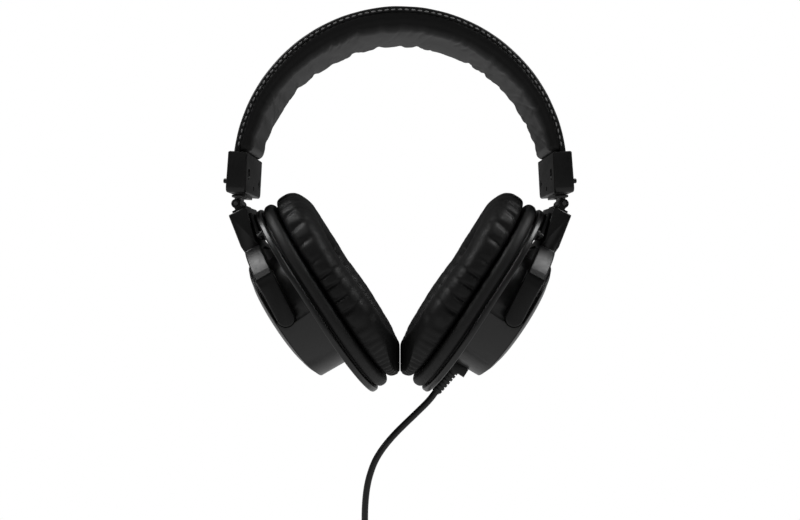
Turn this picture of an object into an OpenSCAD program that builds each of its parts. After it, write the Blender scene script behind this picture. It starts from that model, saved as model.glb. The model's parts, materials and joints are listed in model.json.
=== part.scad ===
// Folding over-ear headphones: a sewn headband with sliding, folding and swivelling
// earcups, and a cord on the wearer's left. The origin is the middle of the headband
// pad's underside, +Z is up, +X is the wearer's left and the wearer faces -Y.
// Every paired part is drawn for the +X side and mirrored for the other.

/* [Headband] */
// Radius of the headband's outer face
band_r = 77.7; // [70:0.1:84]
// Thickness of the padded band at its top
band_thick = 11.6; // [9:0.1:15]
// Width of the band, front to back
band_w = 34; // [28:0.5:42]
// Distance of the pad's underside radius inside the band's outer radius
pad_in = 7.9; // [6:0.1:12]
// Width of the spring strip inside the band
spring_w = 24; // [18:0.5:26]
// Thickness of the spring strip
spring_t = 0.8; // [0.6:0.1:1.2]

/* [Slider] */
// Distance of a housing's middle inside the band's outer radius
leg_in = 3.4; // [2:0.1:5]
// Height of a housing's top above the band's centre
leg_rise = 9.8; // [8:0.1:14]
// Lean of a housing, bottom outward
leg_tilt = 3.3; // [0:0.1:6]
// Thickness of a housing, side to side
housing_t = 9.2; // [8.6:0.1:12]
// Width of a housing, front to back
housing_w = 39; // [36:0.5:48]
// Height of a housing
housing_h = 19; // [17:0.5:26]
// Width of the sliding strip
strip_w = 16; // [12:0.5:20]
// Thickness of the sliding strip
strip_t = 1.2; // [0.8:0.1:1.6]
// Length of the strip above the top of its housing when pushed in
strip_up = 10; // [8:0.5:10]
// Travel of the strip
strip_travel = 20; // [14:0.5:20]

/* [Yoke] */
// Drop from a housing's top to its fold hinge
hinge_drop = 23.4; // [23:0.1:28]
// Distance of the fold hinge outward of the housing's middle
hinge_out = 2.1; // [1:0.1:3]
// Radius of the hinge knuckles
knuckle_r = 2.2; // [2:0.1:2.6]
// Radius of the fold pin
fold_pin_r = 1.0; // [0.8:0.05:1.2]
// Lean of the yoke from upright, bottom inward
yoke_tilt = 27.2; // [24:0.1:29]
// Distance from the fold hinge to the cup's pivots
yoke_len = 59; // [57:0.5:64]
// Outer radius of the yoke's bow
yoke_r = 39; // [38:0.1:41]
// Thickness of the bow and the arms
arm_t = 4; // [3.4:0.1:4.4]
// Width of the arms
arm_w = 8.2; // [7:0.1:9]
// Half of the distance between the arms' outer faces
arm_half = 33.4; // [33:0.1:35]
// Width of the crown block, front to back
crown_w = 30; // [24:0.5:32]
// Radius of the swivel post
post_r = 2; // [1.6:0.1:2.4]
// Radius of the cup's pivot pins
pivot_r = 1.5; // [1.2:0.1:1.8]

/* [Earcup] */
// Lean of the earcup from upright, bottom inward
cup_tilt = 33; // [31:0.1:34]
// Depth of the pivots behind the cushion's face
pivot_depth = 34.8; // [34:0.1:38]
// Half of the cup's height
cup_half = 50.7; // [47:0.1:54]
// Radius of the cup's round ends, half of its width
cup_r = 40.7; // [38:0.1:44]
// Radius of the drum
drum_r = 32.2; // [31.8:0.1:32.8]
// Radius of the drum behind the yoke's arms
waist_r = 28.4; // [27.6:0.1:28.6]
// Wall of the plastic shells
wall = 2; // [1.4:0.1:2.4]
// Thickness of the ear cushion
cushion_t = 13.8; // [12:0.1:16]
// How much the cushion is smaller than the cup all round
cushion_in = 4.2; // [3.8:0.1:5]
// Width of the cushion's roll
roll_w = 19; // [18:0.5:20]
// Radius of the driver's frame
driver_r = 20; // [17:0.5:21]

/* [Cord] */
// Diameter of the cord
cord_d = 3.2; // [2.6:0.1:3.4]
// Diameter of the coil, at the middle of its turns
coil_d = 44; // [40:1:50]
// Width of the coil's bundle of turns
bundle_w = 16.4; // [12:0.2:18]
// Diameter of the plug's contacts
jack_d = 3.5; // [3.5:0.1:3.5]
// Length of the plug's contacts
jack_len = 14; // [12:0.5:16]

/* [Hidden] */
$fn = 96;
gap = 0.3;      // between parts that move past each other
fit = 0.05;     // a pin in its running bore, on the radius
seat = 0.1;     // between parts fastened side by side
far = 400;      // longer than anything it cuts

// Headband, about the centre of its outer face
band_z = band_thick - band_r;
pad_r = band_r - pad_in;
pad_z = -pad_r;
leg_x = band_r - leg_in;
leg_top = band_z + leg_rise;
spring_r = band_r - 1.7;
band_turn = 93;          // the spring's reach from the top, into the housings
lead_r = 0.8;
lead_y = spring_w / 2 + 2.3;

// Slider, in the leg's frame: its origin is the middle of the housing's top
side_wall = 1.7;
strip_x = -2.1;          // the strip's middle
foot_t = 1.2;
foot_top = -housing_h - gap;
rivet_z = -12.4;
knob_z = -13.5;          // a small knob on the outer face, near the front
knob_r = 1.15;
knob_out = 2.6;
stop_z = -housing_h + 3.6;
knuckle_half = 5;        // half of the strip's own knuckle
hinge_half = 8.4;        // half of the whole hinge

// Yoke, in its frame: +X runs down from the fold hinge, +Z points outward
plate_top = knuckle_r + 0.3;
plate_t = 1.4;
crown_top = plate_top + plate_t + gap;
crown_end = yoke_len - yoke_r;
crown_in = [4.6, 1.5];   // its reach towards the ear, at its top and where the bow begins
crown_out = [4.7, 6.3];  // its reach outward, likewise
cover_t = [1.6, 2.9];    // the cover on its ear side, likewise
post_len = 9;

// Earcup, in its frame: the origin is the middle of the cushion's face, +X runs down
// the cup and +Z points outward, away from the ear
cup_slide = cup_half - cup_r;
cup_low = 1.6;           // how much further the cup reaches below its middle than above
touch_slope = 0.17;
ring_front = cushion_t + 0.5;
ring_t = 5.5;
flange_front = ring_front + ring_t + 0.8;
flange_t = 2.8;
drum_front = flange_front + flange_t;
drum_draft = 0.9;        // how much wider the drum is at its flange
cap_front = pivot_depth + arm_w / 2 + 0.8;
cap_t = 3.8;
pocket_low = 3.9;        // the pocket's lower edge, below the pivots
driver_z = ring_front + 2;

// Boot and cord
boot_root = [drum_r + 1.9, 28.6];
boot_lean = 4.5;
boot_len = 16.2;
boot_r = 3.2;
boot_tip_r = 2.4;
// The cord's own points, from the boot's tip down to the coil
ROUTE = [
  [17.1, -170.1], [15.5, -172.4], [13.3, -175], [10.4, -177.8], [6.9, -181.2],
  [2.9, -185], [-1.2, -189], [-5, -193.1], [-8.1, -197], [-10.7, -200.8],
  [-12.7, -204.7], [-14.1, -208.6], [-15.2, -212.4], [-16, -216.3],
  [-16.5, -220.2], [-16.8, -224], [-17, -229], [-17, -235], [-17, -241], [-17, -247]
];
coil_x = -17;
coil_top = -244.8;
coil_z = coil_top - (coil_d + bundle_w) / 2;
coil_low = coil_z - (coil_d + bundle_w) / 2;
plug_top = coil_low - 12;
plug_r = 4.6;
plug_len = 26;
TAIL = [[coil_x, coil_low + 1], [coil_x, coil_low - 4], [coil_x, coil_low - 8], [coil_x, plug_top]];

BLACK = [0.06, 0.06, 0.065];
LEATHER = [0.09, 0.09, 0.095];
PLASTIC = [0.12, 0.125, 0.13];
GREY = [0.3, 0.3, 0.31];
STEEL = [0.6, 0.61, 0.62];
BRASS = [0.75, 0.62, 0.3];

// Frames

module leg_frame() { translate([leg_x, 0, leg_top]) rotate([0, -leg_tilt, 0]) children(); }

module yoke_frame() {
  leg_frame() translate([hinge_out, 0, -hinge_drop])
    rotate([0, 90 + yoke_tilt + leg_tilt, 0]) children();
}

module cup_frame() {
  yoke_frame() translate([yoke_len, 0, 0]) rotate([0, cup_tilt - yoke_tilt, 0])
    translate([0, 0, -pivot_depth]) children();
}

module on_right() { mirror([1, 0, 0]) children(); }

// Blocks that sit centred on Y
module slab(x, w, z) { translate([x[0], -w / 2, z[0]]) cube([x[1] - x[0], w, z[1] - z[0]]); }

// A bar along Y
module cross_bar(r, half, fn = 64) {
  rotate([90, 0, 0]) cylinder(r = r, h = 2 * half, center = true, $fn = fn);
}

// Headband

module band_turned(reach) {
  translate([0, 0, band_z]) rotate([90, 0, 0]) rotate([0, 0, 90 - reach])
    rotate_extrude(angle = 2 * reach, $fn = 200) children();
}

module below_band() {
  for (s = [0, 1]) mirror([s, 0, 0]) leg_frame()
    translate([-20, -far / 2, -far + seat]) cube([40, far, far]);
}

module headband_spring() {
  color(STEEL) difference() {
    band_turned(band_turn) translate([spring_r - spring_t, -spring_w / 2])
      square([spring_t, spring_w]);
    for (s = [0, 1]) mirror([s, 0, 0]) rivet_hole(1.0);
  }
}

module headband_cover() {
  color(LEATHER) difference() {
    band_turned(90) polygon([
      [spring_r - spring_t, -band_w / 2], [band_r - 0.8, -band_w / 2],
      [band_r, -band_w / 2 + 1.2], [band_r, band_w / 2 - 1.2],
      [band_r - 0.8, band_w / 2], [spring_r - spring_t, band_w / 2],
      [spring_r - spring_t, spring_w / 2 + seat], [spring_r + seat, spring_w / 2 + seat],
      [spring_r + seat, -spring_w / 2 - seat],
      [spring_r - spring_t, -spring_w / 2 - seat]
    ]);
    below_band();
  }
}

module headband_pad() {
  color(LEATHER) difference() {
    translate([0, 0, band_z])
      rotate([90, 0, 0]) cylinder(r = spring_r - spring_t - seat, h = band_w, center = true, $fn = 200);
    translate([0, 0, pad_z])
      rotate([90, 0, 0]) cylinder(r = pad_r, h = far, center = true, $fn = 200);
    translate([-far / 2, -far / 2, -far + band_z]) cube([far, far, far]);
    below_band();
    for (s = [0, 1]) mirror([s, 0, 0]) leg_frame()
      slab([strip_x - strip_t / 2 - gap, strip_x + strip_t / 2 + gap], strip_w + 4 * gap,
        [-1, strip_up + 1]);
    band_turned(80) translate([spring_r - spring_t - 1.5, lead_y])
      circle(r = lead_r + seat, $fn = 32);
  }
}

module bridge_lead() {
  color(BLACK) band_turned(79) translate([spring_r - spring_t - 1.5, lead_y])
    circle(r = lead_r, $fn = 32);
}

module rivet_hole(r) {
  leg_frame() translate([0, 0, rivet_z]) rotate([0, 90, 0])
    cylinder(r = r, h = housing_t + 4, center = true, $fn = 48);
}

module spring_rivets() {
  color(PLASTIC) for (s = [0, 1]) mirror([s, 0, 0]) leg_frame()
    translate([0, 0, rivet_z]) rotate([0, 90, 0]) {
      translate([0, 0, -0.4]) cylinder(r = 0.95, h = housing_t / 2 + 0.6, $fn = 48);
      translate([0, 0, housing_t / 2]) cylinder(r = 1.6, h = 0.3, $fn = 48);
    }
}

// Slider housing, a tray closed by a cover on the head's side

module housing_outline(x) {
  round_r = 2.6;
  for (s = [-1, 1]) translate([x[0], s * (housing_w / 2 - round_r), round_r - housing_h])
    rotate([0, 90, 0]) cylinder(r = round_r, h = x[1] - x[0], $fn = 48);
  slab(x, housing_w - 2 * round_r, [-housing_h, 0]);
  slab(x, housing_w, [round_r - housing_h, 0]);
}

module slider_housing() {
  inner = -housing_t / 2 + side_wall;
  color(PLASTIC) leg_frame() difference() {
    union() {
      housing_outline([inner, housing_t / 2]);
      translate([housing_t / 2 - 1, 4 - housing_w / 2 + knob_r, knob_z]) rotate([0, 90, 0])
        cylinder(r = knob_r, h = knob_out + 1, $fn = 32);
    }
    slab([inner - 1, housing_t / 2 - 1.5], housing_w - 2 * side_wall, [-housing_h + side_wall, 1]);
    slab([strip_x - strip_t / 2 - gap, strip_x + strip_t / 2 + gap], strip_w + 4 * gap,
      [-housing_h - 1, 0]);
    translate([0, 0, rivet_z]) rotate([0, 90, 0]) cylinder(r = 0.95, h = housing_t, $fn = 48);
  }
}

module housing_cover() {
  outer = -housing_t / 2 + side_wall - seat;
  color(PLASTIC) leg_frame() difference() {
    housing_outline([-housing_t / 2, outer]);
    translate([-housing_t / 2 - 1, 13.6, -12]) rotate([0, 90, 0]) cylinder(r = 1.9, h = 1.9, $fn = 48);
    translate([-housing_t / 2 - 1, 13.6, -12]) rotate([0, 90, 0]) cylinder(r = 0.9, h = 9, $fn = 48);
    translate([-housing_t / 2 - 1, 0, stop_z]) rotate([0, 90, 0]) cylinder(r = 1, h = 9, $fn = 48);
    translate([-housing_t / 2 - 2.6, -13.2, -9.6]) rotate([0, 90, 0])
      cylinder(r1 = 4.4, r2 = 2.6, h = 3.2, $fn = 64);
  }
}

module housing_screws() {
  color(STEEL) for (s = [0, 1]) mirror([s, 0, 0]) leg_frame()
    translate([-housing_t / 2, 13.6, -12]) rotate([0, 90, 0]) difference() {
      union() {
        translate([0, 0, 0.2]) cylinder(r = 1.7, h = 0.7, $fn = 48);
        cylinder(r = 0.85, h = 5.5, $fn = 32);
      }
      translate([0, 0, -1]) cylinder(r = 1.0, h = 1.7, $fn = 32);
    }
}

module stop_pin() {
  color(STEEL) leg_frame() translate([-housing_t / 2 + 0.4, 0, stop_z]) rotate([0, 90, 0])
    cylinder(r = 0.95, h = housing_t / 2 + strip_x + 0.6, $fn = 48);
}

module detent_spring() {
  face = strip_x + strip_t / 2 + 0.25;
  color(STEEL) leg_frame() {
    difference() {
      slab([face, face + 0.35], 12, [-11, -3]);
      slab([face - 1, face + 1], 6, [-9, -5]);
    }
    slab([face, 0.1], 6, [-11, -10.6]);
  }
}

module slider_strip() {
  slot_top = stop_z + strip_travel + 1.4;
  color(STEEL) leg_frame() {
    difference() {
      slab([strip_x - strip_t / 2, strip_x + strip_t / 2], strip_w, [foot_top - foot_t, strip_up]);
      slab([strip_x - 2, strip_x + 2], 2.6, [stop_z - 1.4, min(slot_top, strip_up - 2)]);
    }
    slab([strip_x - strip_t / 2, hinge_out + knuckle_r], strip_w, [foot_top - foot_t, foot_top]);
    difference() {
      union() {
        translate([hinge_out, 0, -hinge_drop]) cross_bar(knuckle_r, knuckle_half);
        slab([hinge_out - 1.4, hinge_out + 1.4], 2 * knuckle_half, [-hinge_drop, foot_top]);
      }
      translate([hinge_out, 0, -hinge_drop]) cross_bar(fold_pin_r, far / 2, 48);
    }
  }
}

module fold_pin() {
  color(STEEL) leg_frame() translate([hinge_out, 0, -hinge_drop])
    cross_bar(fold_pin_r, hinge_half + 0.4, 48);
}

// Hinge block with the post that the yoke swivels on

module hinge_block() {
  span = hinge_half - knuckle_half - gap;
  color(PLASTIC) yoke_frame() difference() {
    union() {
      for (s = [-1, 1]) translate([0, s * (hinge_half - span / 2), 0]) {
        cross_bar(knuckle_r, span / 2);
        translate([0, -span / 2, -1.6]) cube([plate_top + 0.5, span, 3.2]);
      }
      slab([plate_top, plate_top + plate_t], 2 * hinge_half, [-3.4, 3.4]);
      translate([plate_top + 0.5, 0, 0]) rotate([0, 90, 0])
        cylinder(r = post_r, h = post_len + plate_t, $fn = 64);
    }
    cross_bar(fold_pin_r + fit, far / 2, 48);
  }
}

module bow(r, half, w) {
  intersection() {
    translate([yoke_len, 0, -w / 2]) cylinder(r = r, h = w, $fn = 160);
    slab([yoke_len - far, yoke_len], 2 * half, [-far, far]);
  }
}

// The yoke seen from the front: the crown leans out, then the arms curve back to their pivots
module yoke_profile() {
  reach = arm_w / 2;
  bend = yoke_len - crown_end;
  turn_in = [for (k = [0.07, 0.14, 0.24, 0.42, 0.68]) [crown_end + k * bend, k]];
  rotate([90, 0, 0]) linear_extrude(height = far, center = true) polygon(concat(
    [[crown_top, crown_out[0]], [crown_end, crown_out[1]]],
    [for (p = turn_in) [p[0], reach + (crown_out[1] - reach) * pow(1 - p[1], 2.4)]],
    [[yoke_len + reach, reach], [yoke_len + reach, -reach]],
    [for (k = [4:-1:0]) [turn_in[k][0], -reach + (reach - crown_in[1]) * pow(1 - turn_in[k][1], 4)]],
    [[crown_end, -crown_in[1]], [crown_top, -crown_in[0]]]
  ));
}

module yoke() {
  color(PLASTIC) yoke_frame() difference() {
    intersection() {
      union() {
        bow(yoke_r, arm_half, far);
        for (s = [-1, 1]) translate([yoke_len, s * (arm_half - arm_t / 2), 0])
          cross_bar(arm_w / 2, arm_t / 2);
        slab([crown_top, crown_end + 3], crown_w, [-far, far]);
      }
      yoke_profile();
    }
    bow(yoke_r - arm_t - 0.5, arm_half - arm_t, far + 1);
    translate([crown_top - 1, 0, 0]) rotate([0, 90, 0])
      cylinder(r = post_r + fit, h = post_len + 2.5, $fn = 64);
    translate([yoke_len, 0, 0]) cross_bar(pivot_r, arm_half - arm_t + 2, 48);
  }
}

// The cover lies on the crown's ear side and thickens downward
module yoke_cover() {
  start = crown_top + 3;
  low = crown_end + 2;
  slope = (crown_in[0] - crown_in[1]) / (crown_end - crown_top);
  color(PLASTIC) yoke_frame() rotate([90, 0, 0])
    linear_extrude(height = crown_w - 4, center = true) polygon([
      [start, -crown_in[0] + 3 * slope - 0.02],
      [crown_end - 0.5, -crown_in[1] - 0.5 * slope - 0.02],
      [low, -crown_in[1] - cover_t[1]],
      [start + 1, -crown_in[0] + 3 * slope - cover_t[0]]
    ]);
}

module pivot_pins() {
  pin_len = 6.4;
  color(STEEL) yoke_frame() for (s = [-1, 1])
    translate([yoke_len, s * (arm_half - arm_t + 2 - pin_len / 2), 0])
      cross_bar(pivot_r, pin_len / 2, 48);
}

// Earcup

// A solid of the cup's outline: a circle drawn out along X into round ends
module racetrack(r, z) {
  for (x = [-cup_slide, cup_slide + cup_low]) translate([x, 0, z[0]])
    cylinder(r = r, h = z[1] - z[0], $fn = 128);
  translate([-cup_slide, -r, z[0]]) cube([2 * cup_slide + cup_low, 2 * r, z[1] - z[0]]);
}

module drum_body(more) {
  translate([0, 0, drum_front])
    cylinder(r1 = drum_r + drum_draft + more, r2 = drum_r + more, h = cap_front - drum_front, $fn = 128);
}

module back_shell() {
  color(PLASTIC) cup_frame() difference() {
    union() {
      racetrack(cup_r - 3.4, [drum_front - 1.6, drum_front]);
      translate([0, 0, drum_front]) cylinder(r = waist_r, h = cap_front - drum_front, $fn = 128);
      difference() {
        drum_body(0);
        translate([-far, -far / 2, drum_front]) cube([far, far, cap_front - drum_front + 1]);
        slab([-1, pocket_low], far, [drum_front, pivot_depth]);
        translate([0, 0, pivot_depth]) cross_bar(arm_w / 2 + 0.4, far / 2);
      }
    }
    translate([0, 0, drum_front - 2]) cylinder(r = waist_r - wall, h = cap_front - drum_front + 5, $fn = 128);
    translate([0, 0, pivot_depth]) cross_bar(pivot_r + fit, far / 2, 48);
    translate([drum_r - 8, 0, boot_root[1]]) rotate([0, 90, 0]) cylinder(r = 2, h = 12, $fn = 48);
    screw_places() cylinder(r = 1.1, h = 8, center = true, $fn = 32);
  }
}

module screw_places() {
  for (a = [45, 135, 225, 315])
    translate([cup_slide * sign(cos(a)) + 32 * cos(a), 32 * sin(a), drum_front]) children();
}

module outer_cap() {
  rim = drum_r - 1.7;
  color(BLACK) cup_frame() translate([0, 0, cap_front]) rotate_extrude($fn = 128) polygon([
    [0, wall], [rim - 4, wall], [rim - 4, seat], [rim, seat], [rim + 0.4, 0.6],
    [rim - 2, 0.45 * cap_t], for (a = [0:15:90]) [(rim - 5) * cos(a), cap_t * (0.65 + 0.35 * sin(a))]
  ]);
}

module flange_ring() {
  color(PLASTIC) cup_frame() difference() {
    racetrack(cup_r, [flange_front, drum_front]);
    racetrack(cup_r - 3.3, [flange_front - 1, drum_front + 1]);
  }
}

module baffle_ring() {
  color(BLACK) cup_frame() difference() {
    union() {
      racetrack(cup_r - 1.2, [ring_front, ring_front + ring_t]);
      racetrack(cup_r - 0.2, [ring_front + 1.2, ring_front + ring_t - 1.2]);
    }
    racetrack(cup_r - 3.8, [ring_front - 1, ring_front + ring_t + 1]);
  }
}

module baffle() {
  color(BLACK) cup_frame() difference() {
    union() {
      racetrack(cup_r - 4, [ring_front + 0.2, ring_front + 2]);
      difference() {
        racetrack(cup_r - 4, [ring_front + 1, drum_front - 1.7]);
        racetrack(cup_r - 5.8, [ring_front + 2, drum_front]);
      }
    }
    translate([0, 0, ring_front]) cylinder(r = driver_r - 2, h = 4, $fn = 96);
    screw_places() translate([0, 0, ring_front - drum_front]) cylinder(r = 1.4, h = 9, $fn = 32);
  }
}

module driver_frame() {
  color(PLASTIC) cup_frame() translate([0, 0, driver_z]) difference() {
    union() {
      cylinder(r = driver_r, h = 1.6, $fn = 96);
      cylinder(r = driver_r - 3, h = 5, $fn = 96);
    }
    translate([0, 0, -1]) cylinder(r = driver_r - 4.5, h = 5, $fn = 96);
    translate([0, 0, -1]) cylinder(r = 8.1, h = 9, $fn = 64);
  }
}

module driver_magnet() {
  color(STEEL) cup_frame() translate([0, 0, driver_z + 2.6]) difference() {
    union() {
      cylinder(r = 8, h = 6, $fn = 64);
      translate([0, 0, 2.5]) cylinder(r = 10.5, h = 4.5, $fn = 64);
    }
    translate([0, 0, -1]) cylinder(r = 2, h = 10, $fn = 48);
  }
}

module diaphragm() {
  color(GREY) cup_frame() translate([0, 0, driver_z]) rotate_extrude($fn = 96) polygon([
    [0, 0.2], [7, 0.8], [8, 1.6], [11, 0.6], [driver_r - 5, 1.2], [driver_r - 5, 1.5],
    [11, 0.9], [8, 1.9], [7, 1.1], [0, 0.5]
  ]);
}

module pad_cloth() {
  color(BLACK) cup_frame() racetrack(cup_r - cushion_in - roll_w + 2.4,
    [cushion_t - 2.2, cushion_t - 1.4]);
}

// The cushion's section, from its outer edge: an oval quarter outside, a round one inside
function roll_section(r_out, t, r_in) = let (reach = roll_w - r_in - 0.6) concat(
  [for (a = [0:10:90]) [r_out - reach + reach * cos(a), t - t * sin(a)]],
  [for (a = [90:15:180]) [r_out - roll_w + r_in + r_in * cos(a), r_in - r_in * sin(a)]],
  [[r_out - roll_w, t - 2.4], [r_out - roll_w + 2.8, t - 2.4], [r_out - roll_w + 2.8, t]]
);

// The two cushions rest against each other below, so each is cut back from the middle,
// a little more towards its front and back, where a swivelling cup comes inward
module beyond_touch() {
  reach = 60;
  translate([0, 0, -far]) linear_extrude(far) polygon([
    [-far, -reach], [gap / 2 + touch_slope * reach, -reach], [gap / 2, 0],
    [gap / 2 + touch_slope * reach, reach], [-far, reach]
  ]);
}

module ear_cushion() {
  r_out = cup_r - cushion_in;
  section = roll_section(r_out, cushion_t, 5);
  color(LEATHER) difference() {
    cup_frame() {
      translate([cup_slide + cup_low, 0, 0]) rotate([0, 0, -90])
        rotate_extrude(angle = 180, $fn = 128) polygon(section);
      translate([-cup_slide, 0, 0]) rotate([0, 0, 90]) rotate_extrude(angle = 180, $fn = 128)
        polygon(section);
      for (s = [0, 1]) mirror([0, s, 0]) translate([-cup_slide, 0, 0])
        rotate([90, 0, 90]) linear_extrude(2 * cup_slide + cup_low) polygon(section);
    }
    beyond_touch();
  }
}

module shell_screws() {
  color(STEEL) cup_frame() screw_places() {
    translate([0, 0, -4.6]) cylinder(r = 1, h = 5.6, $fn = 32);
    translate([0, 0, -6]) cylinder(r = 2.2, h = 1.4, $fn = 32);
  }
}

// The short wire that takes the signal from the yoke's crown into the cup
module link_wire() {
  top = cup_half - 12;
  side = crown_w / 2 + 4;
  color(BLACK) cup_frame() translate([-top, -side, drum_front]) {
    cylinder(r = 1.5, h = 2, $fn = 32);
    cylinder(r = 0.9, h = 4, $fn = 32);
  }
}

// Cord

module boot_frame() {
  cup_frame() translate([boot_root[0], 0, boot_root[1]]) rotate([0, 90 + boot_lean, 0]) children();
}

module cord_socket() {
  color(PLASTIC) difference() {
    cup_frame() difference() {
      slab([drum_r - 1, drum_r + 4.4], 10, [drum_front + 0.8, drum_front + 10.8]);
      drum_body(seat);
    }
    boot_frame() translate([0, 0, -8]) cylinder(r = boot_r + seat, h = 16, $fn = 64);
  }
}

module strain_relief() {
  ribs = 6;
  pitch = (boot_len - 4.4) / ribs;
  color(BLACK) boot_frame() {
    cylinder(r1 = boot_r - 0.6, r2 = boot_tip_r - 0.5, h = boot_len, $fn = 64);
    cylinder(r = boot_r, h = 3.6, $fn = 64);
    for (i = [0:ribs - 1]) translate([0, 0, 4.4 + i * pitch])
      cylinder(r1 = boot_r + (boot_tip_r - boot_r) * i / ribs,
        r2 = boot_r + (boot_tip_r - boot_r) * (i + 1) / ribs, h = pitch * 0.62, $fn = 64);
  }
}

// A tube swept along points in the XZ plane
function along(p, i) = let (a = p[max(i - 1, 0)], b = p[min(i + 1, len(p) - 1)]) (b - a) / norm(b - a);
function tube_ring(p, i, r, n) = let (t = along(p, i))
  [for (k = [0:n - 1]) let (c = r * cos(360 * k / n), s = r * sin(360 * k / n))
    [p[i][0] - t[1] * c, s, p[i][1] + t[0] * c]];

module tube(p, d, n = 8) {
  m = len(p);
  polyhedron(
    points = [for (i = [0:m - 1]) each tube_ring(p, i, d / 2, n)],
    faces = concat(
      [[for (k = [0:n - 1]) n - 1 - k]],
      [for (i = [0:m - 2], k = [0:n - 1])
        [i * n + k, i * n + (k + 1) % n, (i + 1) * n + (k + 1) % n, (i + 1) * n + k]],
      [[for (k = [0:n - 1]) (m - 1) * n + k]]
    )
  );
}

module cord_lead() { color(BLACK) tube(ROUTE, cord_d); }

module cord_tail() { color(BLACK) tube(TAIL, cord_d); }

module coil_turned(reach, start) {
  translate([coil_x, 0, coil_z]) rotate([90, 0, 0]) rotate([0, 0, start])
    rotate_extrude(angle = reach, $fn = 128) children();
}

module cord_coil() {
  color(BLACK) coil_turned(360, 0) translate([coil_d / 2, 0]) circle(d = bundle_w, $fn = 48);
}

module cord_tie() {
  color(GREY) coil_turned(16, -8) translate([coil_d / 2, 0]) difference() {
    circle(d = bundle_w + 2.4, $fn = 48);
    circle(d = bundle_w + 2 * seat, $fn = 48);
  }
}

module plug_body() {
  color(BLACK) translate([coil_x, 0, plug_top]) mirror([0, 0, 1]) rotate_extrude($fn = 64) polygon([
    [0, 0], [cord_d / 2 + 0.5, 0], [cord_d / 2 + 1, 6], [plug_r - 0.6, 9], [plug_r, 10],
    [plug_r, plug_len - 1], [plug_r - 1, plug_len], [0, plug_len]
  ]);
}

module plug_jack() {
  r = jack_d / 2;
  color(BRASS) translate([coil_x, 0, plug_top - plug_len]) mirror([0, 0, 1]) {
    cylinder(r = r, h = jack_len - 3, $fn = 48);
    rotate_extrude($fn = 48) polygon([
      [0, jack_len - 3], [r, jack_len - 3], [r - 0.5, jack_len - 2.4], [r - 0.1, jack_len - 1.6],
      [0.5, jack_len], [0, jack_len]
    ]);
  }
}

headband_spring();
headband_cover();
headband_pad();
spring_rivets();
bridge_lead();
housing_screws();
slider_housing();  // slider_housing_left
on_right() slider_housing();  // slider_housing_right
housing_cover();  // housing_cover_left
on_right() housing_cover();  // housing_cover_right
stop_pin();  // stop_pin_left
on_right() stop_pin();  // stop_pin_right
detent_spring();  // detent_spring_left
on_right() detent_spring();  // detent_spring_right
slider_strip();  // slider_strip_left
on_right() slider_strip();  // slider_strip_right
fold_pin();  // fold_pin_left
on_right() fold_pin();  // fold_pin_right
hinge_block();  // hinge_block_left
on_right() hinge_block();  // hinge_block_right
yoke();  // yoke_left
on_right() yoke();  // yoke_right
yoke_cover();  // yoke_cover_left
on_right() yoke_cover();  // yoke_cover_right
pivot_pins();  // pivot_pins_left
on_right() pivot_pins();  // pivot_pins_right
back_shell();  // back_shell_left
on_right() back_shell();  // back_shell_right
outer_cap();  // outer_cap_left
on_right() outer_cap();  // outer_cap_right
flange_ring();  // flange_ring_left
on_right() flange_ring();  // flange_ring_right
baffle_ring();  // baffle_ring_left
on_right() baffle_ring();  // baffle_ring_right
baffle();  // baffle_left
on_right() baffle();  // baffle_right
driver_frame();  // driver_frame_left
on_right() driver_frame();  // driver_frame_right
driver_magnet();  // driver_magnet_left
on_right() driver_magnet();  // driver_magnet_right
diaphragm();  // diaphragm_left
on_right() diaphragm();  // diaphragm_right
pad_cloth();  // pad_cloth_left
on_right() pad_cloth();  // pad_cloth_right
ear_cushion();  // ear_cushion_left
on_right() ear_cushion();  // ear_cushion_right
shell_screws();  // shell_screws_left
on_right() shell_screws();  // shell_screws_right
link_wire();  // link_wire_left
on_right() link_wire();  // link_wire_right
cord_socket();
strain_relief();
cord_lead();
cord_coil();
cord_tie();
cord_tail();
plug_body();
plug_jack();
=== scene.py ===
"""Looks of the over-ear headphones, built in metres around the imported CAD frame."""
import json
import math
import random

import bmesh
import bpy
from mathutils import Matrix, Vector, noise


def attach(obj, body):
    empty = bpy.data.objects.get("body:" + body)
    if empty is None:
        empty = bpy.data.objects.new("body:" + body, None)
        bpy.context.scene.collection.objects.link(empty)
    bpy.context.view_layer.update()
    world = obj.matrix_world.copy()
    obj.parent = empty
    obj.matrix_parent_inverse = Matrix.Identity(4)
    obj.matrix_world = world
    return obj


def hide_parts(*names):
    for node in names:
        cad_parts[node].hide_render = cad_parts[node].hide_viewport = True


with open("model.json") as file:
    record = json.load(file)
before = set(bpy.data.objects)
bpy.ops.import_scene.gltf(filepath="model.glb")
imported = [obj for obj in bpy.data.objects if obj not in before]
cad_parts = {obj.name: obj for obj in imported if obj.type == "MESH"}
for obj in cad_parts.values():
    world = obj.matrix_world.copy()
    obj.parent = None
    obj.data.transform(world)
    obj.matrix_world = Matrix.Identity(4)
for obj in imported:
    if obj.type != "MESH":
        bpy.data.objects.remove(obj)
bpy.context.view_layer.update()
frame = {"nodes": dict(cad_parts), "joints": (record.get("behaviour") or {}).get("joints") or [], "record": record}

MM = 0.001
SIDES = {"left": 1, "right": -1}
scene = bpy.context.scene


# ---------- camera ----------
camera = bpy.data.objects.new("camera", bpy.data.cameras.new("camera"))
camera.location = (0, -0.410, -0.1063)
camera.rotation_euler = (math.radians(90), 0, 0)
camera.data.lens = 38.19
camera.data.clip_start = 0.01
scene.collection.objects.link(camera)
scene.camera = camera


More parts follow.
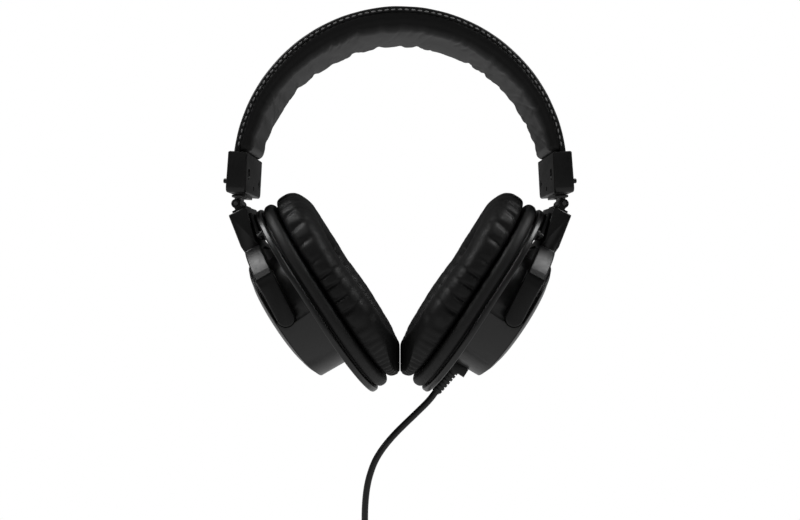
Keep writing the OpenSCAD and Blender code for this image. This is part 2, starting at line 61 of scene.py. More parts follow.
# ---------- the two tilted frames of a side (leg and cup), as in the CAD part ---
def tilted(origin, x_axis):
    """A frame whose X is x_axis in the XZ plane and whose Y is the world's Y, in metres."""
    x = Vector((x_axis[0], 0, x_axis[1])).normalized()
    y = Vector((0, 1, 0))
    z = x.cross(y)
    m = Matrix((x, y, z)).transposed().to_4x4()
    m.translation = Vector((origin[0], 0, origin[1])) * MM
    return m


def lean(degrees):
    """The XZ direction that runs down, leaning inward by this much."""
    return (-math.sin(math.radians(degrees)), -math.cos(math.radians(degrees)))


PLACES = {joint["name"]: joint for joint in frame["joints"]}
PIVOT = [v / MM for v in PLACES["tilt_left"]["pos_m"]]
LEG_LEAN = math.radians(3.3)
LEG_TOP = (74.3, -56.3)
CUP_LEAN = 33
PIVOT_DEPTH = 34.8
DOWN = lean(CUP_LEAN)
OUT = (-DOWN[1], DOWN[0])
FACE = (PIVOT[0] - PIVOT_DEPTH * OUT[0], PIVOT[2] - PIVOT_DEPTH * OUT[1])
LEG = tilted(LEG_TOP, (math.cos(LEG_LEAN), math.sin(LEG_LEAN)))
CUP = tilted(FACE, DOWN)
WORLD = Matrix.Identity(4)


# ---------- materials ----------
class Shader:
    """A node material under construction: short names for the nodes that every finish uses."""

    def __init__(self, name, colour, rough, **inputs):
        self.mat = bpy.data.materials.new(name)
        self.mat.use_nodes = True
        self.tree = self.mat.node_tree
        self.bsdf = self.tree.nodes["Principled BSDF"]
        self.set("Base Color", (*colour, 1))
        self.set("Roughness", rough)
        for key, value in inputs.items():
            self.set(key.replace("_", " "), value)
        self.place = self.add("ShaderNodeTexCoord").outputs["Object"]
        self.height = None

    def set(self, key, value):
        self.bsdf.inputs[key].default_value = value

    def add(self, kind, **values):
        node = self.tree.nodes.new(kind)
        for key, value in values.items():
            setattr(node, key, value)
        return node

    def link(self, a, b):
        self.tree.links.new(a, b)

    def noise(self, scale, detail=3, rough=0.55):
        node = self.add("ShaderNodeTexNoise")
        node.inputs["Scale"].default_value = scale
        node.inputs["Detail"].default_value = detail
        node.inputs["Roughness"].default_value = rough
        self.link(self.place, node.inputs["Vector"])
        return node.outputs["Fac"]

    def cells(self, scale, feature="F1"):
        node = self.add("ShaderNodeTexVoronoi", feature=feature)
        node.inputs["Scale"].default_value = scale
        self.link(self.place, node.inputs["Vector"])
        return node.outputs["Distance"]

    def ramp(self, source, low, high, to_low, to_high):
        node = self.add("ShaderNodeMapRange")
        for key, value in zip(("From Min", "From Max", "To Min", "To Max"), (low, high, to_low, to_high)):
            node.inputs[key].default_value = value
        self.link(source, node.inputs["Value"])
        return node.outputs["Result"]

    def bump(self, source, strength, depth):
        node = self.add("ShaderNodeBump")
        node.inputs["Strength"].default_value = strength
        node.inputs["Distance"].default_value = depth
        self.link(source, node.inputs["Height"])
        if self.height:
            self.link(self.height, node.inputs["Normal"])
        self.height = node.outputs["Normal"]
        self.link(self.height, self.bsdf.inputs["Normal"])

    def tint(self, source, dark, light):
        node = self.add("ShaderNodeMix", data_type="RGBA")
        node.inputs["A"].default_value = (*dark, 1)
        node.inputs["B"].default_value = (*light, 1)
        self.link(source, node.inputs["Factor"])
        self.link(node.outputs["Result"], self.bsdf.inputs["Base Color"])

    def vary_rough(self, source, low, high):
        self.link(self.ramp(source, 0.3, 0.7, low, high), self.bsdf.inputs["Roughness"])


def grey(v, warm=0.0):
    return (v * (1 + warm), v, v * (1 - warm))


def leather(name, dark, light, rough, grain, depth, spec=0.4):
    s = Shader(name, grey(dark), rough, Specular_IOR_Level=spec)
    s.tint(s.ramp(s.noise(90, 4), 0.35, 0.65, 0, 1), grey(dark), grey(light))
    s.vary_rough(s.noise(260, 3), rough - 0.05, rough + 0.07)
    s.bump(s.cells(grain), 0.5, depth)
    s.bump(s.noise(grain * 2.4, 2), 0.35, depth * 0.7)
    return s.mat


def pad_leather_painted_underlight(name):
    """The band's wrap: nearly black on its side faces, with a painted lighter grey under the band that stands for
    light from the bright floor below.
    """
    s = Shader(name, grey(0.05), 0.5, Specular_IOR_Level=0.3)
    split = s.add("ShaderNodeSeparateXYZ")
    s.link(s.place, split.inputs[0])
    across_for_painted_underlight = s.add("ShaderNodeMath", operation="ABSOLUTE")
    s.link(split.outputs["Y"], across_for_painted_underlight.inputs[0])
    # painted light: the middle of the underside is tinted lighter grey to stand for light from the floor below;
    # the near-black side faces are the wrap's own colour
    s.tint(s.ramp(across_for_painted_underlight.outputs[0], 0.0166, 0.0150, 0, 1), grey(0.005), grey(0.058))
    s.bump(s.cells(1400), 0.5, 0.00003)
    return s.mat


def moulded(name, shade, rough, grain, depth, spec=0.5, coat=0.0):
    s = Shader(name, grey(shade), rough, Specular_IOR_Level=spec, Coat_Weight=coat, Coat_Roughness=0.3)
    s.tint(s.ramp(s.noise(60, 4), 0.3, 0.7, 0, 1), grey(shade * 0.85), grey(shade * 1.15))
    s.vary_rough(s.noise(400, 3), rough - 0.04, rough + 0.05)
    s.bump(s.noise(grain, 2), 0.4, depth)
    return s.mat


def metal(name, shade, rough):
    s = Shader(name, grey(shade, 0.01), rough, Metallic=1.0)
    s.tint(s.ramp(s.noise(150, 4), 0.3, 0.7, 0, 1), grey(shade * 0.85), grey(shade))
    s.vary_rough(s.noise(900, 3), rough - 0.05, rough + 0.08)
    s.bump(s.noise(4000, 2), 0.2, 0.00003)
    return s.mat


def cloth(name, shade, scale):
    s = Shader(name, grey(shade), 0.9, Specular_IOR_Level=0.2, Sheen_Weight=0.2)
    s.bump(s.cells(scale), 0.8, 0.0002)
    s.tint(s.cells(scale), grey(shade * 0.5), grey(shade * 1.6))
    return s.mat


MATERIALS = {
    "leatherette": leather("leatherette", 0.0065, 0.009, 0.50, 1500, 0.00004, 0.3),
    "pad_leatherette": pad_leather_painted_underlight("pad_leatherette"),
    "protein_leather": leather("protein_leather", 0.0085, 0.012, 0.52, 1900, 0.00003, 0.28),
    "satin_plastic": moulded("satin_plastic", 0.007, 0.38, 2600, 0.00003, spec=0.4),
    "shell_plastic": moulded("shell_plastic", 0.012, 0.33, 2200, 0.00003, coat=0.2),
    "matte_plastic": moulded("matte_plastic", 0.014, 0.50, 2600, 0.00006),
    "soft_ring": moulded("soft_ring", 0.013, 0.58, 3000, 0.00005, spec=0.4),
    "boot_rubber": moulded("boot_rubber", 0.013, 0.5, 2600, 0.00005),
    "cable_jacket": moulded("cable_jacket", 0.010, 0.42, 2400, 0.00004),
    "wire_jacket": moulded("wire_jacket", 0.010, 0.45, 2400, 0.00003),
    "tie_strap": cloth("tie_strap", 0.014, 2600),
    "speaker_cloth": cloth("speaker_cloth", 0.012, 2200),
    "spring_steel": metal("spring_steel", 0.13, 0.3),
    "screw_steel": metal("screw_steel", 0.16, 0.35),
    "magnet_plating": metal("magnet_plating", 0.5, 0.3),
    "jack_plating": metal("jack_plating", 0.75, 0.18),
    "diaphragm_film": moulded("diaphragm_film", 0.05, 0.25, 2400, 0.00003),
    "thread": moulded("thread", 0.26, 0.7, 5000, 0.00005),
}


# ---------- making and placing pieces ----------
def piece(name, verts, faces, place, side, finish, body, stands_for=(), smooth=True):
    """A mesh piece given in the left side's local millimetres; the right side is its mirror image."""
    mesh = bpy.data.meshes.new(name)
    mesh.from_pydata([Vector(v) * MM for v in verts], [], faces)
    mesh.transform(place)
    if side == "right":
        mesh.transform(Matrix.Diagonal((-1, 1, 1, 1)))
        mesh.flip_normals()
    mesh.validate()
    for polygon in mesh.polygons:
        polygon.use_smooth = smooth
    obj = bpy.data.objects.new(name, mesh)
    scene.collection.objects.link(obj)
    mesh.materials.append(MATERIALS[finish])
    if stands_for:
        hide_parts(*stands_for)
    obj["body"] = body
    return obj


def grid_faces(rows, columns, wrap_rows, wrap_columns):
    faces = []
    for i in range(rows if wrap_rows else rows - 1):
        for j in range(columns if wrap_columns else columns - 1):
            k = (i + 1) % rows
            n = (j + 1) % columns
            faces.append((i * columns + j, i * columns + n, k * columns + n, k * columns + j))
    return faces


def outward(obj):
    """Turns the faces of a closed mesh outwards."""
    bm = bmesh.new()
    bm.from_mesh(obj.data)
    bmesh.ops.recalc_face_normals(bm, faces=bm.faces)
    bm.to_mesh(obj.data)
    bm.free()


def smoothstep(a, b, x):
    t = min(1, max(0, (x - a) / (b - a)))
    return t * t * (3 - 2 * t)


def wave(x, y, z, scale):
    """Smooth noise from about -1 to 1; the arguments are in the units of scale."""
    return noise.noise(Vector((x / scale, y / scale, z / scale)))


def crease(phase, sharp):
    """A fold line every whole phase: 0 on the rounded ridge, -1 at the bottom of the narrow valley."""
    return -(0.5 + 0.5 * math.cos(2 * math.pi * phase)) ** sharp


# ---------- headband ----------
BAND_CENTRE = -66.1
BAND_R = 77.7
BAND_W = 34.0
PAD_CENTRE = -69.8
PAD_R = 69.8
BAND_REACH = math.radians(82.6)
PAD_REACH = math.radians(82.1)
EDGE_R = 1.3
SEAM_IN = 2.6


def pad_radius(t):
    """The pad's underside, as a radius about the band's centre, at the angle t from the top."""
    gap = BAND_CENTRE - PAD_CENTRE
    return -gap * math.cos(t) + math.sqrt(PAD_R**2 - (gap * math.sin(t)) ** 2)


def band_point(t, r, y):
    return (r * math.sin(t), y, BAND_CENTRE + r * math.cos(t))


def band_cover():
    """The stitched outer strip: the band's top, rolled over both edges as far as the seam."""
    rows, half = 260, 14
    verts = []
    profile = []
    for j in range(half + 1):
        a = math.pi / 2 * j / half
        profile.append((BAND_W / 2 - EDGE_R + EDGE_R * math.sin(a), BAND_R - EDGE_R + EDGE_R * math.cos(a)))
    profile.append((BAND_W / 2 + 0.05, BAND_R - 2.0))
    profile.append((BAND_W / 2 + 0.03, BAND_R - SEAM_IN + 0.1))
    profile.append((BAND_W / 2 - 0.12, BAND_R - SEAM_IN - 0.08))
    profile.append((BAND_W / 2 - 0.6, BAND_R - SEAM_IN - 0.1))
    flat = [(y, BAND_R) for y in (0, 4, 8, 12)]
    half_profile = flat + profile
    inner = [(BAND_W / 2 - 1.6, BAND_R - 1.5), (8, BAND_R - 1.5), (0, BAND_R - 1.5)]
    loop = half_profile + inner
    full = [(-y, r) for y, r in reversed(loop[1:-1])]
    ring = loop[:1] + loop[1:-1] + [loop[-1]] + full
    for i in range(rows):
        t = BAND_REACH * (2 * i / (rows - 1) - 1)
        for y, r in ring:
            lift = 0.12 * wave(t * BAND_R, y, 0, 9) * smoothstep(4, 14, abs(y))
            verts.append(band_point(t, r + lift, y))
    obj = piece("band_cover", verts, grid_faces(rows, len(ring), False, True), WORLD, "left", "leatherette",
                "headband", ["headband_cover"])
    outward(obj)
    return obj


def band_pad():
    """The padded wrap: bulging side faces, round lower edges and a gathered, wrinkled underside."""
    rows, columns = 760, 96
    round_in = 3.4
    end_round = 3.2
    r_out = BAND_R - SEAM_IN + 0.2
    verts = []
    for i in range(rows):
        t = PAD_REACH * (2 * i / (rows - 1) - 1)
        kink = smoothstep(math.radians(44), math.radians(52), abs(t))
        left = min(1, (PAD_REACH - abs(t)) * PAD_R / end_round)
        tuck = end_round * (1 - math.sqrt(max(0, 1 - (1 - left) ** 2)))
        r_in = pad_radius(t) + 0.3 * kink + tuck
        arc = t * PAD_R
        corner = min(round_in, (r_out - r_in) / 2)
        half = BAND_W / 2 - 0.12 - 0.5 * tuck
        for j in range(columns):
            u = 2 * j / (columns - 1) - 1
            side = 1 if u > 0 else -1
            a = abs(u)
            if a > 0.86:
                f = (a - 0.86) / 0.14
                r = r_in + corner + (r_out - r_in - corner) * f
                y = half + 0.5 * math.sin(math.pi * f) - 0.5 * smoothstep(0.92, 1, f)
            elif a > 0.62:
                q = (a - 0.62) / 0.24 * math.pi / 2
                y = half - corner + corner * math.sin(q)
                r = r_in + corner - corner * math.cos(q)
            else:
                y = (half - corner) * a / 0.62
                r = r_in
            under = smoothstep(0.95, 0.68, a)
            flank = smoothstep(0.60, 0.86, a) * smoothstep(1.0, 0.9, a)
            y *= side
            crown = 0.7 * (1 - (y / 17) ** 2)
            drift = 5.0 * wave(arc, y * 0.6, 3, 26) + 1.6 * wave(arc, y, 9, 8)
            gathered = 0.35 + 0.65 * smoothstep(-0.35, 0.35, wave(arc, y, 5, 19))
            gather = crease((arc + drift) / 11.5, 3) * gathered
            fine = crease((arc - drift * 0.7 + 0.4 * y) / 5.1, 2.4) * smoothstep(-0.1, 0.5, wave(arc, y, 15, 12))
            edge = smoothstep(4, 15, abs(y))
            push = (0.95 * gather + 0.5 * fine) * (0.35 + 0.65 * edge)
            push += 0.4 * wave(arc, 0.4 * y, 21, 5.5) + 0.5 * wave(arc, y, 31, 17)
            fade = 1 - 0.6 * smoothstep(math.radians(70), math.radians(80), abs(t))
            r = r - (crown + push * fade) * under * min(1, left)
            y += side * flank * 0.25 * wave(arc, r, 47, 14)
            verts.append(band_point(t, r, y))
        verts.append(band_point(t, r_out, 10))
        verts.append(band_point(t, r_out, -10))
    total = columns + 2
    faces = grid_faces(rows, total, False, True)
    faces += [tuple(range(total)), tuple((rows - 1) * total + n for n in reversed(range(total)))]
    obj = piece("band_pad", verts, faces, WORLD, "left", "pad_leatherette", "headband", ["headband_pad"])
    outward(obj)
    return obj


def band_stitches():
    """Short thread stitches along both side faces, a little below the rolled edge."""
    pitch = 3.1
    long, wide, high = 2.1, 0.34, 0.3
    r = BAND_R - SEAM_IN + 0.75
    verts, faces = [], []
    count = int(2 * math.radians(81) * r / pitch)
    random.seed(4)
    for side in (-1, 1):
        for k in range(count):
            mid = (k - (count - 1) / 2) * pitch / r
            lean = random.uniform(-0.06, 0.06)
            base = len(verts)
            steps, around = 6, 6
            for i in range(steps + 1):
                f = i / steps * 2 - 1
                t = mid + f * long / 2 / r
                bow = math.sqrt(max(0.02, 1 - f * f))
                for j in range(around):
                    a = 2 * math.pi * j / around
                    y = side * (BAND_W / 2 + 0.04 + high * bow * (0.35 + 0.65 * math.cos(a)))
                    verts.append(band_point(t, r + wide * bow * math.sin(a) + lean * f * 2, y))
            faces += [tuple(base + n for n in f) for f in grid_faces(steps + 1, around, False, True)]
            faces.append(tuple(base + n for n in range(around)))
            faces.append(tuple(base + steps * around + n for n in range(around)))
    obj = piece("band_stitches", verts, faces, WORLD, "left", "thread", "headband")
    outward(obj)
    return obj


# ---------- rounded tracks and rings around a cup ----------
TRACK_UP = 10.0
TRACK_LOW = 11.6


def track(s, radius):
    """Point on a racetrack outline at the share s of its length: (x, y, outward x, outward y)."""
    straight = TRACK_UP + TRACK_LOW
    turn = math.pi * radius
    d = (s % 1) * 2 * (straight + turn)
    if d < turn:
        a = d / radius - math.pi / 2
        return (TRACK_LOW + radius * math.cos(a), radius * math.sin(a), math.cos(a), math.sin(a))
    d -= turn
    if d < straight:
        return (TRACK_LOW - d, radius, 0.0, 1.0)
    d -= straight
    if d < turn:
        a = d / radius + math.pi / 2
        return (-TRACK_UP + radius * math.cos(a), radius * math.sin(a), math.cos(a), math.sin(a))
    d -= turn
    return (-TRACK_UP + d, -radius, 0.0, -1.0)


def track_ring(name, section, steps, side, finish, nodes, shape=None):
    """A closed section of (radius, depth) points swept round the racetrack."""
    reference = 28.0
    verts = []
    for i in range(steps):
        x, y, nx, ny = track(i / steps, reference)
        for j, (r, depth) in enumerate(section):
            push = shape(i / steps, j, r, depth) if shape else 0
            off = r - reference + push
            verts.append((x + nx * off, y + ny * off, depth))
    obj = piece(f"{name}_{side}", verts, grid_faces(steps, len(section), True, True), CUP, side, finish,
                f"cup_{side}", nodes)
    outward(obj)
    return obj


def rounded_section(r_in, r_out, low, high, corner, count=6):
    """A rectangle in (radius, depth) with its outer corners rounded."""
    points = [(r_in, low)]
    for cx, cz, start in ((r_out - corner, low + corner, -90), (r_out - corner, high - corner, 0)):
        for k in range(count + 1):
            a = math.radians(start + 90 * k / count)
            points.append((cx + corner * math.cos(a), cz + corner * math.sin(a)))
    points.append((r_in, high))
    return points


# ---------- ear cushions ----------
CUSHION_OUT = 39.7
CUSHION_IN = 17.2
CUSHION_DEEP = 13.8
TOUCH = 0.06
TOUCH_SOFT = 0.6
TOUCH_SLOPE = 0.18


def cushion(side):
    steps, around = 640, 84
    middle = (CUSHION_OUT + CUSHION_IN) / 2
    half_w = (CUSHION_OUT - CUSHION_IN) / 2
    half_d = CUSHION_DEEP / 2
    reference = 28.0
    verts = []
    for i in range(steps):
        s = i / steps
        x0, y0, nx, ny = track(s, reference)
        low_end = smoothstep(6, 34, x0)
        arc = s * (2 * math.pi * CUSHION_OUT + 2 * (TRACK_UP + TRACK_LOW))
        for j in range(around):
            a = 2 * math.pi * j / around
            c, d = math.cos(a), math.sin(a)
            face = d > 0
            power = 2 / (2.15 if face else 4.0)
            r = middle + half_w * math.copysign(abs(c) ** power, c)
            depth = half_d - half_d * math.copysign(abs(d) ** power, d)
            outer = smoothstep(0.0, 0.55, c)
            inner = smoothstep(0.0, 0.6, -c)
            rise = smoothstep(CUSHION_DEEP, 1.0, depth)
            seam_fade = smoothstep(CUSHION_DEEP + 0.2, CUSHION_DEEP - 2.5, depth)
            x = x0 + nx * (r - reference)
            y = y0 + ny * (r - reference)
            drift = 3.2 * wave(x, y, depth * 0.4 + 40, 17) + 0.8 * wave(x, y, depth, 6)
            folded = 0.35 + 0.65 * smoothstep(-0.4, 0.3, wave(x, y, 7, 15))
            long_fold = crease((arc + drift) / 8.4, 3.2) * folded
            short_fold = crease((arc + 0.6 * drift) / 3.4, 1.6)
            big = math.exp(-((x - 4) / 2.4) ** 2) * 0.9 * (0.6 + 0.4 * wave(x, y, 70, 20))
            fold = 1.7 * long_fold * (1 - low_end) + (0.7 * short_fold + 0.6 * long_fold) * low_end
            push = outer * seam_fade * (fold * (1 - rise) ** 0.8 - big * (1 - 0.5 * rise))
            push += inner * seam_fade * 0.22 * crease((arc * 0.45 + drift) / 3.6, 1.8) * (1 - rise * 0.7)
            soft = 0.45 * wave(x, y, depth + 11, 13) + 0.16 * wave(x, y, depth + 17, 4.5)
            sag = math.exp(-((x + 12) / 11) ** 2) - 0.7 * math.exp(-((x - 14) / 12) ** 2)
            full = smoothstep(-20, -42, x0)
            slack = math.exp(-((x - 8) / 20) ** 2)
            swell = 0.3 * long_fold - 1.3 * sag + 1.0 * full - 0.55 * slack + 0.5 * wave(x, y, 3, 22)
            lift = swell * rise * smoothstep(0.0, 0.5, d)
            off = push + (soft + 1.1 * full * outer * (1 - rise)) * seam_fade
            nr, nd = c, -d
            x += nx * nr * off
            y += ny * nr * off
            depth += nd * (off * 0.7) - lift * 0.55
            point = CUP @ (Vector((x, y, depth)) * MM) / MM
            nearest = TOUCH + TOUCH_SLOPE * abs(point.y)
            past = point.x - nearest
            if past <= TOUCH_SOFT:
                past = TOUCH_SOFT * math.exp(max(past, -6) / TOUCH_SOFT - 1)
            point.x = nearest + past
            verts.append(tuple(point))
    obj = piece(f"ear_cushion_skin_{side}", verts, grid_faces(steps, around, True, True), WORLD, side,
                "protein_leather", f"cup_{side}", [f"ear_cushion_{side}"])
    outward(obj)
    return obj


# ---------- cord ----------
CORD_D = 3.2
COIL = (-17.0, -275.0)
COIL_R = 22.0
ROUTE = [
    (17.1, -170.1), (15.5, -172.4), (13.3, -175), (10.4, -177.8), (6.9, -181.2), (2.9, -185),
    (-1.2, -189), (-5, -193.1), (-8.1, -197), (-10.7, -200.8), (-12.7, -204.7), (-14.1, -208.6),
    (-15.2, -212.4), (-16, -216.3), (-16.5, -220.2), (-16.8, -224), (-17, -228), (-17, -232),
]


def coil_slots():
    """Where each of the 22 turns lies in the bundle: 13 outside, 7 within them and 2 in the middle."""
    outer, inner, core = 6.8, 4.1, 1.5
    step = 360 / 13
    down = [(outer, -step * (k + 0.5)) for k in range(6)] + [(inner, a) for a in (-154, -103, -51)]
    down.append((core, -90))
    up = [(r, -a) for r, a in reversed(down)]
    up.insert(4, (outer, 180))
    polar = down + [(inner, 0)] + up
    return [(r * math.cos(math.radians(a)), r * math.sin(math.radians(a))) for r, a in polar]


def coil_path():
    slots = coil_slots()
    bend = 13.4
    per_turn = 20
    radial, sideways = slots[0]
    rho = COIL_R + radial
    height = math.sqrt(rho**2 + 2 * bend * rho)
    meet = math.asin(bend / (bend + rho))
    points = []
    for k in range(5):
        a = (math.pi / 2 - meet) * k / 5
        f = k / 5
        points.append((COIL[0] + bend * (1 - math.cos(a)), sideways * f,
                       COIL[1] + height - bend * math.sin(a)))
    turns = len(slots)
    total = turns * per_turn
    first = meet
    last = 2 * math.pi * (turns - 1) + math.pi - meet
    for k in range(total + 1):
        a = first + (last - first) * k / total
        turn = a / (2 * math.pi)
        now = min(turns - 1, int(turn))
        nxt = min(turns - 1, now + 1)
        f = smoothstep(0.55, 1.0, turn - now)
        dr = slots[now][0] * (1 - f) + slots[nxt][0] * f
        dy = slots[now][1] * (1 - f) + slots[nxt][1] * f
        dr += 0.25 * noise.noise(Vector((a * 0.9, 3, now)))
        dy += 0.25 * noise.noise(Vector((a * 0.9, 8, now)))
        r = COIL_R + dr
        points.append((COIL[0] + r * math.sin(a), dy, COIL[1] + r * math.cos(a)))
    sideways = slots[-1][1]
    for k in range(1, 6):
        a = (math.pi / 2 - meet) * (1 - k / 5)
        f = 1 - k / 5
        points.append((COIL[0] + bend * (1 - math.cos(a)), sideways * f,
                       COIL[1] - height + bend * math.sin(a)))
    return points


def cord():
    path = [(x, 0, z) for x, z in ROUTE] + coil_path() + [(COIL[0], 0, -316.5), (COIL[0], 0, -319)]
    curve = bpy.data.curves.new("cord", "CURVE")
    curve.dimensions = "3D"
    spline = curve.splines.new("NURBS")
    spline.points.add(len(path) - 1)
    for point, place in zip(spline.points, path):
        point.co = (place[0] * MM, place[1] * MM, place[2] * MM, 1)
    spline.order_u = 4
    spline.use_endpoint_u = True
    spline.resolution_u = 3
    curve.bevel_depth = CORD_D / 2 * MM
    curve.bevel_resolution = 4
    curve.use_fill_caps = True
    obj = bpy.data.objects.new("cord", curve)
    scene.collection.objects.link(obj)
    curve.materials.append(MATERIALS["cable_jacket"])
    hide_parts("cord_lead", "cord_coil", "cord_tail")
    obj["body"] = "cup_left"
    return obj


# ---------- moulded parts ----------
EDGES = {"yoke": 0.8, "yoke_cover": 0.7, "outer_cap": 0.6, "flange_ring": 0.8, "back_shell": 0.45,
         "hinge_block": 0.3, "slider_strip": 0.2}


CREASE_WIDTH = 4.0


def two_width_bevel(bm, node, sharp, weights, width):
    """Rounds a yoke's outward edges by width, and the creases where its bow meets its flat arms by more.

    An inward corner is left alone: filling it would bring the yoke nearer to the cup that tilts inside it.
    """
    for edge in sharp:
        if not edge.is_convex:
            continue
        soft = math.degrees(edge.calc_face_angle()) < 45 and edge.calc_length() > 2 * MM
        edge[weights] = 1.0 if soft else width / CREASE_WIDTH
    mesh = bpy.data.meshes.new(f"{node}_plain")
    bm.to_mesh(mesh)
    temp = bpy.data.objects.new(f"{node}_plain", mesh)
    scene.collection.objects.link(temp)
    bevel = temp.modifiers.new("round", "BEVEL")
    bevel.limit_method = "WEIGHT"
    bevel.width = CREASE_WIDTH * MM
    bevel.segments = 5
    bevel.use_clamp_overlap = False
    baked = bpy.data.meshes.new_from_object(temp.evaluated_get(bpy.context.evaluated_depsgraph_get()))
    baked.name = f"{node}_moulded"
    bpy.data.objects.remove(temp)
    return baked


def refined(node, width):
    """A copy of a CAD node's mesh with its sharp edges rounded by width, which stands for the node."""
    source = frame["nodes"][node]
    bm = bmesh.new()
    bm.from_mesh(source.data)
    bmesh.ops.remove_doubles(bm, verts=bm.verts, dist=2e-6)
    bmesh.ops.dissolve_limit(bm, angle_limit=math.radians(0.5), verts=bm.verts, edges=bm.edges)
    weights = bm.edges.layers.float.new("bevel_weight_edge")
    sharp = [e for e in bm.edges if len(e.link_faces) == 2 and e.calc_face_angle() > math.radians(28)]
    if node in ("yoke_left", "yoke_right"):
        mesh = two_width_bevel(bm, node, sharp, weights, width)
    else:
        bmesh.ops.bevel(bm, geom=sharp, offset=width * MM, segments=3, profile=0.5, affect="EDGES",
                        clamp_overlap=True)
        mesh = bpy.data.meshes.new(f"{node}_moulded")
        bm.to_mesh(mesh)
    bm.free()
    for polygon in mesh.polygons:
        polygon.use_smooth = True
    mesh.set_sharp_from_angle(angle=math.radians(34))
    obj = bpy.data.objects.new(f"{node}_moulded", mesh)
    scene.collection.objects.link(obj)
    finish = source.material_slots[0].material.name.split(".")[0]
    mesh.materials.append(MATERIALS[finish])
    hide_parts(node)
    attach(obj, BODY_OF[node])
    return obj


HOUSE_W = 40.0
HOUSE_H = 19.0


def cutter(radius_a, radius_b, deep, at):
    """A cone along the housing's X, from at, in the housing's own frame."""
    bm = bmesh.new()
    bmesh.ops.create_cone(bm, cap_ends=True, segments=48, radius1=radius_a * MM, radius2=radius_b * MM,
                          depth=deep * MM)
    bm.transform(Matrix.Translation(Vector(at) * MM) @ Matrix.Rotation(math.radians(90), 4, "Y"))
    mesh = bpy.data.meshes.new("cutter")
    bm.to_mesh(mesh)
    bm.free()
    obj = bpy.data.objects.new("cutter", mesh)
    scene.collection.objects.link(obj)
    return obj


def housing(side):
    """The slider housing: a narrow box with round lower corners, and a dimple and two holes inside."""
    round_r, top_r = 2.6, 0.7
    outline = []
    for cy, cz, r, start in (
        (HOUSE_W / 2 - top_r, -top_r, top_r, 90), (-HOUSE_W / 2 + top_r, -top_r, top_r, 180),
        (-HOUSE_W / 2 + round_r, -HOUSE_H + round_r, round_r, 270),
        (HOUSE_W / 2 - round_r, -HOUSE_H + round_r, round_r, 360),
    ):
        for k in range(7):
            a = math.radians(start - 90 + 90 * k / 6)
            outline.append((cy + r * math.cos(a), cz + r * math.sin(a)))
    bm = bmesh.new()
    inner = []
    outer = []
    for y, z in outline:
        low = -z / HOUSE_H
        inner.append(bm.verts.new(Vector((-4.1 - 0.1 * low - 0.5 * smoothstep(-19, 19, y), y, z)) * MM))
        outer.append(bm.verts.new(Vector((4.75 + 0.3 * low, y, z)) * MM))
    bm.faces.new(inner)
    bm.faces.new(list(reversed(outer)))
    count = len(outline)
    for k in range(count):
        n = (k + 1) % count
        bm.faces.new((inner[n], inner[k], outer[k], outer[n]))
    bmesh.ops.recalc_face_normals(bm, faces=bm.faces)
    rim = [e for e in bm.edges if e.calc_face_angle() > math.radians(60)]
    bmesh.ops.bevel(bm, geom=rim, offset=0.85 * MM, segments=4, profile=0.5, affect="EDGES")
    mesh = bpy.data.meshes.new(f"housing_{side}")
    bm.to_mesh(mesh)
    bm.free()
    obj = bpy.data.objects.new(f"housing_{side}", mesh)
    scene.collection.objects.link(obj)
    for a, b, deep, at in ((4.4, 2.4, 3.0, (-5.2, -13.2, -9.6)), (1.95, 1.95, 2.6, (-4.1, 13.6, -12)),
                           (1.1, 1.1, 2.4, (-4.1, 0, -15.4))):
        tool = cutter(a, b, deep, at)
        cut = obj.modifiers.new("cut", "BOOLEAN")
        cut.operation = "DIFFERENCE"
        cut.object = tool
        baked = bpy.data.meshes.new_from_object(obj.evaluated_get(bpy.context.evaluated_depsgraph_get()))
        obj.modifiers.clear()
        obj.data = baked
        bpy.data.objects.remove(tool)
    knob_r, knob_out = 1.15, 2.6
    bm = bmesh.new()
    bm.from_mesh(obj.data)
    knob_end = 4.6 + knob_out
    rings = [(knob_r + 0.25, 3.4), (knob_r, 4.7), (knob_r, knob_end - 0.5), (knob_r - 0.15, knob_end - 0.15),
             (knob_r - 0.5, knob_end), (0.01, knob_end + 0.02)]
    around = 24
    ring_verts = []
    for r, x in rings:
        ring_verts.append([bm.verts.new(Vector((x, -14.35 + r * math.cos(2 * math.pi * k / around),
                                                -13.5 + r * math.sin(2 * math.pi * k / around))) * MM)
                           for k in range(around)])
    for low, high in zip(ring_verts, ring_verts[1:]):
        for k in range(around):
            n = (k + 1) % around
            bm.faces.new((low[k], low[n], high[n], high[k]))
    bm.to_mesh(obj.data)
    bm.free()
    mesh = obj.data
    mesh.transform(LEG)
    if side == "right":
        mesh.transform(Matrix.Diagonal((-1, 1, 1, 1)))
        mesh.flip_normals()
    for polygon in mesh.polygons:
        polygon.use_smooth = True
    mesh.set_sharp_from_angle(angle=math.radians(32))
    mesh.materials.clear()
    mesh.materials.append(MATERIALS["satin_plastic"])
    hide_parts(f"slider_housing_{side}", f"housing_cover_{side}")
    obj["body"] = "headband"
    return obj


BODY_OF = {node: body for body, nodes in frame["record"]["behaviour"]["bodies"].items() for node in nodes}

# ---------- build ----------
pieces = [band_cover(), band_pad(), band_stitches()]
for side in SIDES:
    pieces.append(cushion(side))
    pieces.append(housing(side))
    pieces.append(track_ring("soft_ring", rounded_section(30, 40.4, 14.4, 19.9, 2.4), 220, side, "soft_ring",
                             [f"baffle_ring_{side}"]))
for side in SIDES:
    for name, width in EDGES.items():
        refined(f"{name}_{side}", width)
for name, width in {"cord_socket": 0.5, "plug_body": 0.4, "cord_tie": 0.3}.items():
    refined(name, width)
cord_piece = cord()
pieces.append(cord_piece)
for obj in pieces:
    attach(obj, obj["body"])

for name, obj in frame["nodes"].items():
    finish = obj.material_slots[0].material.name.split(".")[0]
    obj.material_slots[0].material = MATERIALS[finish]


# ---------- studio ----------
FLOOR_Z = -0.372


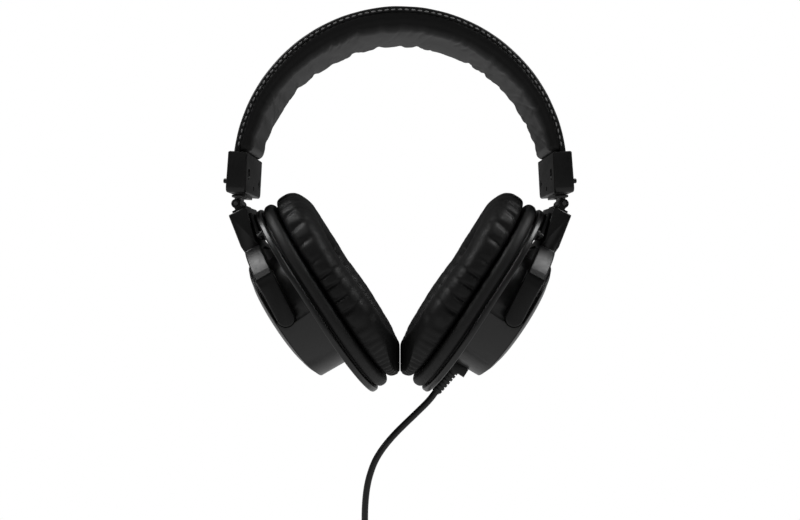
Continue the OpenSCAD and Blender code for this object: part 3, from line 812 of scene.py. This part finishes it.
def light(name, place, aim, size, power):
    data = bpy.data.lights.new(name, "AREA")
    data.shape = "RECTANGLE"
    data.size, data.size_y = size
    data.energy = power
    obj = bpy.data.objects.new(name, data)
    obj.location = place
    obj.rotation_euler = (Vector(aim) - Vector(place)).to_track_quat("-Z", "Y").to_euler()
    scene.collection.objects.link(obj)


def mix_for_camera(tree, others, camera_sees, output):
    """Camera rays see one shader and all other rays the other."""
    ray = tree.nodes.new("ShaderNodeLightPath")
    mix = tree.nodes.new("ShaderNodeMixShader")
    tree.links.new(ray.outputs["Is Camera Ray"], mix.inputs["Fac"])
    tree.links.new(others.outputs[0], mix.inputs[1])
    tree.links.new(camera_sees.outputs[0], mix.inputs[2])
    tree.links.new(mix.outputs[0], output.inputs["Surface"])


def studio():
    """White to the camera; to the object, a bright sweep below and behind and a dark room in front."""
    world = bpy.data.worlds.new("studio")
    scene.world = world
    world.use_nodes = True
    tree = world.node_tree
    nodes, links = tree.nodes, tree.links
    white = nodes["Background"]
    white.inputs["Color"].default_value = (1, 1, 1, 1)
    around = nodes.new("ShaderNodeBackground")
    where = nodes.new("ShaderNodeTexCoord")
    split = nodes.new("ShaderNodeSeparateXYZ")
    links.new(where.outputs["Generated"], split.inputs[0])
    ramp = nodes.new("ShaderNodeMapRange")
    for key, value in (("From Min", -0.5), ("From Max", 0.9), ("To Min", 0.03), ("To Max", 0.12)):
        ramp.inputs[key].default_value = value
    links.new(split.outputs["Y"], ramp.inputs["Value"])
    links.new(ramp.outputs["Result"], around.inputs["Strength"])
    mix_for_camera(tree, around, white, nodes["World Output"])

    bpy.ops.mesh.primitive_plane_add(size=6, location=(0, 0, FLOOR_Z))
    floor = bpy.context.object
    floor.name = "floor"
    mat = bpy.data.materials.new("floor")
    mat.use_nodes = True
    nodes = mat.node_tree.nodes
    nodes.remove(nodes["Principled BSDF"])
    glow = nodes.new("ShaderNodeEmission")
    dim = nodes.new("ShaderNodeEmission")
    dim.inputs["Strength"].default_value = 0.5
    mix_for_camera(mat.node_tree, dim, glow, nodes["Material Output"])
    floor.data.materials.append(mat)

    light("top_left", (-0.55, 0.02, 0.55), (-0.05, 0, -0.08), (0.4, 0.4), 4.0)
    light("top_right", (0.55, 0.02, 0.55), (0.05, 0, -0.08), (0.4, 0.4), 3.4)
    light("front", (-0.1, -0.9, 0.35), (0, 0, -0.1), (0.9, 0.3), 0.35)
    scene.view_settings.view_transform = "Standard"


studio()
